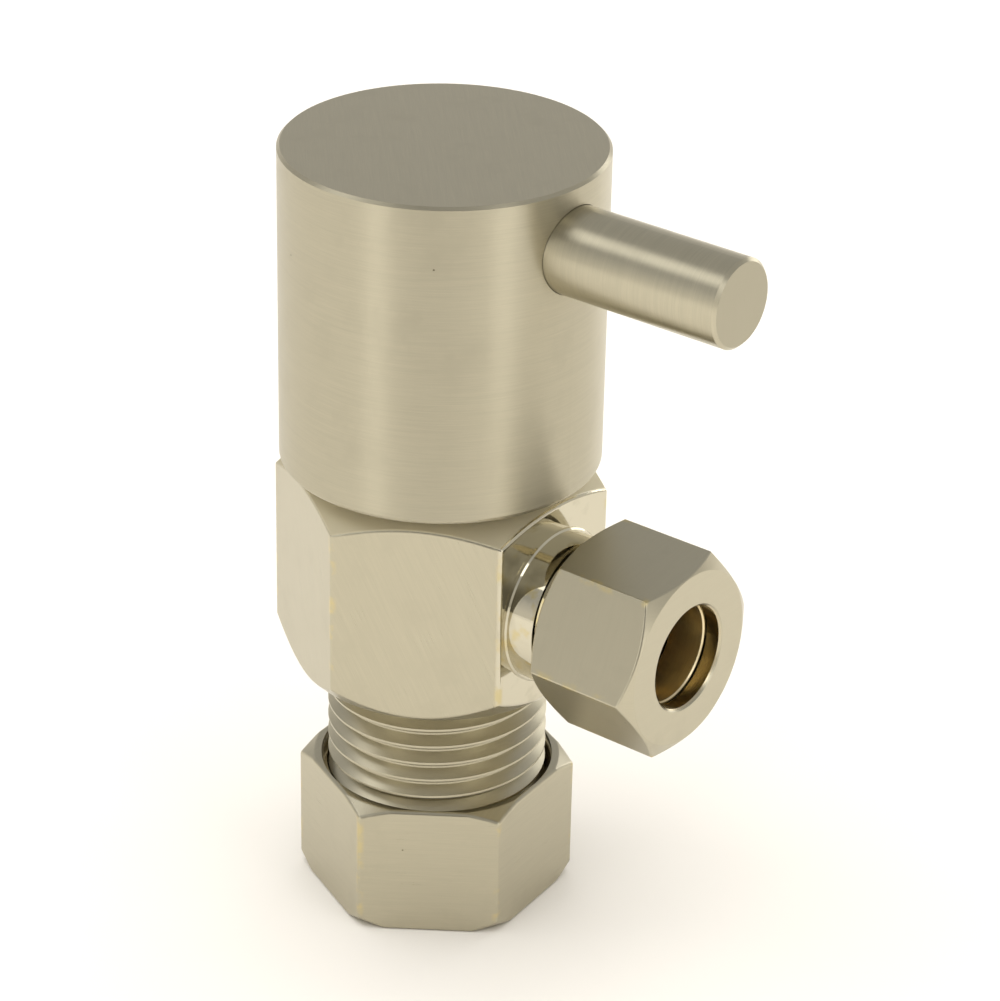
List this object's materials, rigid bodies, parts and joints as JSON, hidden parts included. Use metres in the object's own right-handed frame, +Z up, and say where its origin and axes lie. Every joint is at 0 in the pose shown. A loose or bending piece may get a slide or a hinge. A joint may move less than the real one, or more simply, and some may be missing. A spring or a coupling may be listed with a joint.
{
  "type": "angle stop valve",
  "caption": "Quarter-turn angle stop valve with a drum handle and a bar lever; compression nut inlet below, smaller compression nut outlet at the side.",
  "frame": {"origin": "on the inlet axis, at the bottom face of the inlet nut", "axes": "+Z up along the inlet and handle axis, +X along the outlet and, at rest, along the lever"},
  "size_m": [0.0474, 0.0312, 0.0763],
  "materials": {
    "brushed_nickel": "brushed nickel plate on brass, warm grey, satin",
    "brass": "bare machined brass",
    "rubber": "black nitrile rubber",
    "plastic": "off-white acetal",
    "ceramic": "lapped white alumina ceramic",
    "steel": "stainless steel"
  },
  "bodies": {
    "body": {"valve_body": "brushed_nickel", "cartridge_housing": "brass", "seat_seal": "rubber", "seat_support_ring": "plastic", "fixed_disc": "ceramic", "body_o_ring": "rubber"},
    "handle": {"handle_cap": "brushed_nickel", "lever_bar": "brushed_nickel", "lever_stud": "steel", "set_screw": "steel", "spline_insert": "plastic", "stem": "brass", "stem_clip": "steel", "stem_o_rings": "rubber", "thrust_washer": "plastic", "turning_disc": "ceramic"},
    "inlet_slider": {"inlet_ferrule": "brass"},
    "inlet_nut": {"inlet_nut": "brushed_nickel"},
    "outlet_slider": {"outlet_ferrule": "brass"},
    "outlet_nut": {"outlet_nut": "brushed_nickel"}
  },
  "joints": [
    {"name": "handle_turn", "type": "hinge", "parent": "body", "child": "handle", "pos_m": [0, 0, 0.05], "axis": [0, 0, -1], "range_deg": [0, 90]},
    {"name": "inlet_ferrule_slide", "type": "slide", "parent": "body", "child": "inlet_slider", "axis": [0, 0, 1], "range_m": [-0.00272, 0.00227]},
    {"name": "inlet_nut_turn", "type": "hinge", "parent": "inlet_slider", "child": "inlet_nut", "pos_m": [0, 0, 0.0065], "axis": [0, 0, 1], "range_deg": [-540, 450]},
    {"name": "outlet_ferrule_slide", "type": "slide", "parent": "body", "child": "outlet_slider", "axis": [-1, 0, 0], "range_m": [-0.00159, 0.00132]},
    {"name": "outlet_nut_turn", "type": "hinge", "parent": "outlet_slider", "child": "outlet_nut", "pos_m": [0.023, 0, 0.0343], "axis": [-1, 0, 0], "range_deg": [-540, 450]}
  ],
  "couplings": [
    {"joint": "inlet_nut_turn", "follows": "inlet_ferrule_slide", "rad_per_m": 3463.2},
    {"joint": "outlet_nut_turn", "follows": "outlet_ferrule_slide", "rad_per_m": 5936.9}
  ]
}
